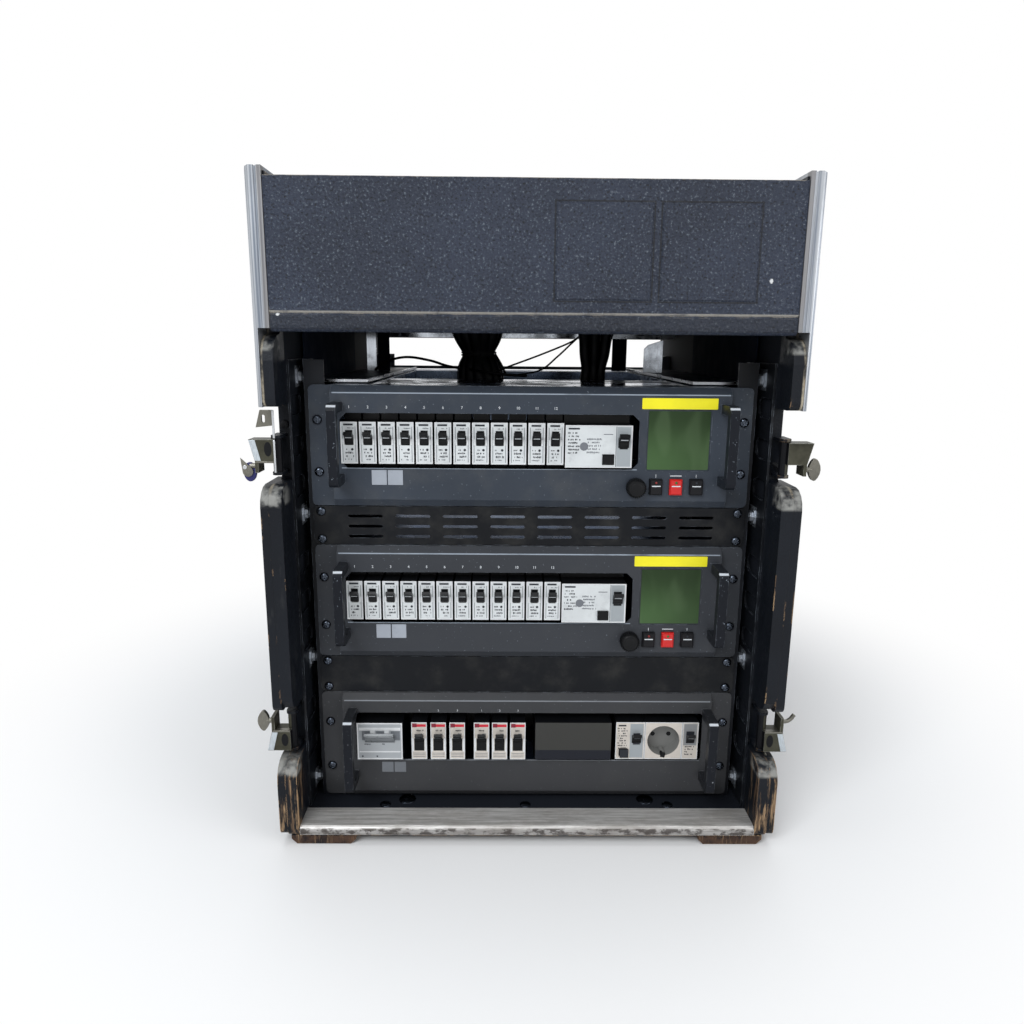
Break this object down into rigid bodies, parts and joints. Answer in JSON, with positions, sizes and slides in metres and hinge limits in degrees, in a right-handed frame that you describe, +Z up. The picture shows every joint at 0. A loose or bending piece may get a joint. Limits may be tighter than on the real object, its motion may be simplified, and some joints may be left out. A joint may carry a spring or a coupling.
{
  "type": "dimmer rack",
  "caption": "Plywood flight case with shock-mounted 19-inch frame, dimmer units with breakers, power distribution unit and connection box above.",
  "frame": {"origin": "on the ground under the middle of the case", "axes": "+Z up, the front with the unit panels faces -Y, +X to the right as seen from the front"},
  "size_m": [0.6132, 0.68, 0.72],
  "materials": {
    "black_plywood": "black phenolic film, worn at the edges",
    "structure_paint": "coarse black structure paint",
    "aluminium_profile": "worn anodised extrusion",
    "zinc_steel": "dull zinc plating",
    "frame_black": "satin black powder coat",
    "blue_grey_paint": "satin blue-grey powder coat",
    "warm_grey_paint": "satin dark grey powder coat",
    "panel_black": "satin black powder coat",
    "chassis_steel": "bare sheet",
    "breaker_plastic": "moulded light grey",
    "lever_black": "moulded black",
    "key_black": "moulded black",
    "key_red": "moulded red",
    "cable_jacket": "black cable jackets"
  },
  "bodies": {
    "case": {"left_wall": "black_plywood", "right_wall": "black_plywood", "floor_board": "black_plywood", "connection_box": "frame_black", "front_fascia": "structure_paint", "left_edge_profile": "aluminium_profile", "right_edge_profile": "aluminium_profile", "front_sill": "aluminium_profile", "rack_frame": "frame_black", "vent_panel": "panel_black", "blank_panel": "panel_black", "dimmer_1_faceplate": "blue_grey_paint", "dimmer_1_chassis": "chassis_steel", "dimmer_1_breaker_row": "breaker_plastic", "dimmer_2_faceplate": "blue_grey_paint", "dimmer_2_chassis": "chassis_steel", "dimmer_2_breaker_row": "breaker_plastic", "power_faceplate": "warm_grey_paint", "power_chassis": "chassis_steel", "power_switchgear_row": "breaker_plastic", "left_loom": "cable_jacket", "right_loom": "cable_jacket"},
    "dimmer_1_lever_01": {"dimmer_1_lever_01": "lever_black"},
    "dimmer_1_lever_02": {"dimmer_1_lever_02": "lever_black"},
    "dimmer_1_lever_03": {"dimmer_1_lever_03": "lever_black"},
    "dimmer_1_lever_04": {"dimmer_1_lever_04": "lever_black"},
    "dimmer_1_lever_05": {"dimmer_1_lever_05": "lever_black"},
    "dimmer_1_lever_06": {"dimmer_1_lever_06": "lever_black"},
    "dimmer_1_lever_07": {"dimmer_1_lever_07": "lever_black"},
    "dimmer_1_lever_08": {"dimmer_1_lever_08": "lever_black"},
    "dimmer_1_lever_09": {"dimmer_1_lever_09": "lever_black"},
    "dimmer_1_lever_10": {"dimmer_1_lever_10": "lever_black"},
    "dimmer_1_lever_11": {"dimmer_1_lever_11": "lever_black"},
    "dimmer_1_lever_12": {"dimmer_1_lever_12": "lever_black"},
    "dimmer_1_rcd_lever": {"dimmer_1_rcd_lever": "lever_black"},
    "dimmer_1_rcd_test_button": {"dimmer_1_rcd_test_button": "lever_black"},
    "dimmer_1_encoder": {"dimmer_1_encoder": "lever_black"},
    "dimmer_1_key_1": {"dimmer_1_key_1": "key_black"},
    "dimmer_1_key_2": {"dimmer_1_key_2": "key_red"},
    "dimmer_1_key_3": {"dimmer_1_key_3": "key_black"},
    "dimmer_2_encoder": {"dimmer_2_encoder": "lever_black"},
    "dimmer_2_key_1": {"dimmer_2_key_1": "key_black"},
    "dimmer_2_key_2": {"dimmer_2_key_2": "key_red"},
    "dimmer_2_key_3": {"dimmer_2_key_3": "key_black"},
    "power_main_lever": {"power_main_lever": "breaker_plastic"},
    "power_lever_1": {"power_lever_1": "lever_black"},
    "power_lever_2": {"power_lever_2": "lever_black"},
    "power_lever_3": {"power_lever_3": "lever_black"},
    "power_lever_4": {"power_lever_4": "lever_black"},
    "power_lever_5": {"power_lever_5": "lever_black"},
    "power_lever_6": {"power_lever_6": "lever_black"},
    "power_rcd_lever": {"power_rcd_lever": "lever_black"},
    "latch_left_lower_arm": {"latch_left_lower_arm": "zinc_steel"},
    "latch_left_lower_wing": {"latch_left_lower_wing": "zinc_steel"},
    "latch_left_upper_arm": {"latch_left_upper_arm": "zinc_steel"},
    "latch_left_upper_wing": {"latch_left_upper_wing": "zinc_steel"},
    "latch_right_lower_arm": {"latch_right_lower_arm": "zinc_steel"},
    "latch_right_lower_wing": {"latch_right_lower_wing": "zinc_steel"},
    "latch_right_upper_arm": {"latch_right_upper_arm": "zinc_steel"},
    "latch_right_upper_wing": {"latch_right_upper_wing": "zinc_steel"}
  },
  "joints": [
    {"name": "dimmer_1_lever_01_throw", "type": "hinge", "parent": "case", "child": "dimmer_1_lever_01", "pos_m": [-0.1962, -0.2845, 0.4556], "axis": [1, 0, 0], "range_deg": [0, 70]},
    {"name": "dimmer_1_lever_02_throw", "type": "hinge", "parent": "case", "child": "dimmer_1_lever_02", "pos_m": [-0.176, -0.2845, 0.4556], "axis": [1, 0, 0], "range_deg": [0, 70]},
    {"name": "dimmer_1_lever_03_throw", "type": "hinge", "parent": "case", "child": "dimmer_1_lever_03", "pos_m": [-0.1558, -0.2845, 0.4556], "axis": [1, 0, 0], "range_deg": [0, 70]},
    {"name": "dimmer_1_lever_04_throw", "type": "hinge", "parent": "case", "child": "dimmer_1_lever_04", "pos_m": [-0.1356, -0.2845, 0.4556], "axis": [1, 0, 0], "range_deg": [0, 70]},
    {"name": "dimmer_1_lever_05_throw", "type": "hinge", "parent": "case", "child": "dimmer_1_lever_05", "pos_m": [-0.1154, -0.2845, 0.4556], "axis": [1, 0, 0], "range_deg": [0, 70]},
    {"name": "dimmer_1_lever_06_throw", "type": "hinge", "parent": "case", "child": "dimmer_1_lever_06", "pos_m": [-0.0952, -0.2845, 0.4556], "axis": [1, 0, 0], "range_deg": [0, 70]},
    {"name": "dimmer_1_lever_07_throw", "type": "hinge", "parent": "case", "child": "dimmer_1_lever_07", "pos_m": [-0.075, -0.2845, 0.4556], "axis": [1, 0, 0], "range_deg": [0, 70]},
    {"name": "dimmer_1_lever_08_throw", "type": "hinge", "parent": "case", "child": "dimmer_1_lever_08", "pos_m": [-0.0548, -0.2845, 0.4556], "axis": [1, 0, 0], "range_deg": [0, 70]},
    {"name": "dimmer_1_lever_09_throw", "type": "hinge", "parent": "case", "child": "dimmer_1_lever_09", "pos_m": [-0.0346, -0.2845, 0.4556], "axis": [1, 0, 0], "range_deg": [0, 70]},
    {"name": "dimmer_1_lever_10_throw", "type": "hinge", "parent": "case", "child": "dimmer_1_lever_10", "pos_m": [-0.0144, -0.2845, 0.4556], "axis": [1, 0, 0], "range_deg": [0, 70]},
    {"name": "dimmer_1_lever_11_throw", "type": "hinge", "parent": "case", "child": "dimmer_1_lever_11", "pos_m": [0.0058, -0.2845, 0.4556], "axis": [1, 0, 0], "range_deg": [0, 70]},
    {"name": "dimmer_1_lever_12_throw", "type": "hinge", "parent": "case", "child": "dimmer_1_lever_12", "pos_m": [0.026, -0.2845, 0.4556], "axis": [1, 0, 0], "range_deg": [0, 70]},
    {"name": "dimmer_1_rcd_lever_throw", "type": "hinge", "parent": "case", "child": "dimmer_1_rcd_lever", "pos_m": [0.0999, -0.2845, 0.4541], "axis": [1, 0, 0], "range_deg": [0, 70]},
    {"name": "dimmer_1_rcd_test_press", "type": "slide", "parent": "case", "child": "dimmer_1_rcd_test_button", "axis": [0, 1, 0], "range_m": [0, 0.002], "stiffness_N_per_m": 500, "springref_m": -0.001},
    {"name": "dimmer_1_encoder_turn", "type": "hinge", "parent": "case", "child": "dimmer_1_encoder", "pos_m": [0.115, -0.283, 0.4054], "axis": [0, -1, 0], "continuous": true},
    {"name": "dimmer_1_key_1_press", "type": "slide", "parent": "case", "child": "dimmer_1_key_1", "axis": [0, 1, 0], "range_m": [0, 0.0022], "stiffness_N_per_m": 500, "springref_m": -0.001},
    {"name": "dimmer_1_key_2_press", "type": "slide", "parent": "case", "child": "dimmer_1_key_2", "axis": [0, 1, 0], "range_m": [0, 0.0022], "stiffness_N_per_m": 500, "springref_m": -0.001},
    {"name": "dimmer_1_key_3_press", "type": "slide", "parent": "case", "child": "dimmer_1_key_3", "axis": [0, 1, 0], "range_m": [0, 0.0022], "stiffness_N_per_m": 500, "springref_m": -0.001},
    {"name": "dimmer_2_encoder_turn", "type": "hinge", "parent": "case", "child": "dimmer_2_encoder", "pos_m": [0.115, -0.283, 0.2276], "axis": [0, -1, 0], "continuous": true},
    {"name": "dimmer_2_key_1_press", "type": "slide", "parent": "case", "child": "dimmer_2_key_1", "axis": [0, 1, 0], "range_m": [0, 0.0022], "stiffness_N_per_m": 500, "springref_m": -0.001},
    {"name": "dimmer_2_key_2_press", "type": "slide", "parent": "case", "child": "dimmer_2_key_2", "axis": [0, 1, 0], "range_m": [0, 0.0022], "stiffness_N_per_m": 500, "springref_m": -0.001},
    {"name": "dimmer_2_key_3_press", "type": "slide", "parent": "case", "child": "dimmer_2_key_3", "axis": [0, 1, 0], "range_m": [0, 0.0022], "stiffness_N_per_m": 500, "springref_m": -0.001},
    {"name": "power_main_lever_throw", "type": "hinge", "parent": "case", "child": "power_main_lever", "pos_m": [-0.173, -0.2845, 0.1049], "axis": [1, 0, 0], "range_deg": [0, 70]},
    {"name": "power_lever_1_throw", "type": "hinge", "parent": "case", "child": "power_lever_1", "pos_m": [-0.1268, -0.2845, 0.1049], "axis": [1, 0, 0], "range_deg": [0, 70]},
    {"name": "power_lever_2_throw", "type": "hinge", "parent": "case", "child": "power_lever_2", "pos_m": [-0.1044, -0.2845, 0.1049], "axis": [1, 0, 0], "range_deg": [0, 70]},
    {"name": "power_lever_3_throw", "type": "hinge", "parent": "case", "child": "power_lever_3", "pos_m": [-0.0822, -0.2845, 0.1049], "axis": [1, 0, 0], "range_deg": [0, 70]},
    {"name": "power_lever_4_throw", "type": "hinge", "parent": "case", "child": "power_lever_4", "pos_m": [-0.0537, -0.2845, 0.1049], "axis": [1, 0, 0], "range_deg": [0, 70]},
    {"name": "power_lever_5_throw", "type": "hinge", "parent": "case", "child": "power_lever_5", "pos_m": [-0.0325, -0.2845, 0.1049], "axis": [1, 0, 0], "range_deg": [0, 70]},
    {"name": "power_lever_6_throw", "type": "hinge", "parent": "case", "child": "power_lever_6", "pos_m": [-0.0112, -0.2845, 0.1049], "axis": [1, 0, 0], "range_deg": [0, 70]},
    {"name": "power_rcd_lever_throw", "type": "hinge", "parent": "case", "child": "power_rcd_lever", "pos_m": [0.1285, -0.2845, 0.1049], "axis": [1, 0, 0], "range_deg": [0, 70]},
    {"name": "latch_left_lower_arm_swing", "type": "hinge", "parent": "case", "child": "latch_left_lower_arm", "pos_m": [-0.268, -0.306, 0.1265], "axis": [0, 0, 1], "range_deg": [0, 90]},
    {"name": "latch_left_lower_wing_twist", "type": "hinge", "parent": "latch_left_lower_arm", "child": "latch_left_lower_wing", "pos_m": [-0.3002, -0.308, 0.138], "axis": [-1, 0, 0], "range_deg": [0, 180]},
    {"name": "latch_left_upper_arm_swing", "type": "hinge", "parent": "case", "child": "latch_left_upper_arm", "pos_m": [-0.268, -0.306, 0.4415], "axis": [0, 0, 1], "range_deg": [0, 90]},
    {"name": "latch_left_upper_wing_twist", "type": "hinge", "parent": "latch_left_upper_arm", "child": "latch_left_upper_wing", "pos_m": [-0.3002, -0.308, 0.43], "axis": [-1, 0, 0], "range_deg": [0, 180]},
    {"name": "latch_right_lower_arm_swing", "type": "hinge", "parent": "case", "child": "latch_right_lower_arm", "pos_m": [0.268, -0.306, 0.1265], "axis": [0, 0, -1], "range_deg": [0, 90]},
    {"name": "latch_right_lower_wing_twist", "type": "hinge", "parent": "latch_right_lower_arm", "child": "latch_right_lower_wing", "pos_m": [0.3002, -0.308, 0.138], "axis": [1, 0, 0], "range_deg": [0, 180]},
    {"name": "latch_right_upper_arm_swing", "type": "hinge", "parent": "case", "child": "latch_right_upper_arm", "pos_m": [0.268, -0.306, 0.4415], "axis": [0, 0, -1], "range_deg": [0, 90]},
    {"name": "latch_right_upper_wing_twist", "type": "hinge", "parent": "latch_right_upper_arm", "child": "latch_right_upper_wing", "pos_m": [0.3002, -0.308, 0.43], "axis": [1, 0, 0], "range_deg": [0, 180]}
  ]
}
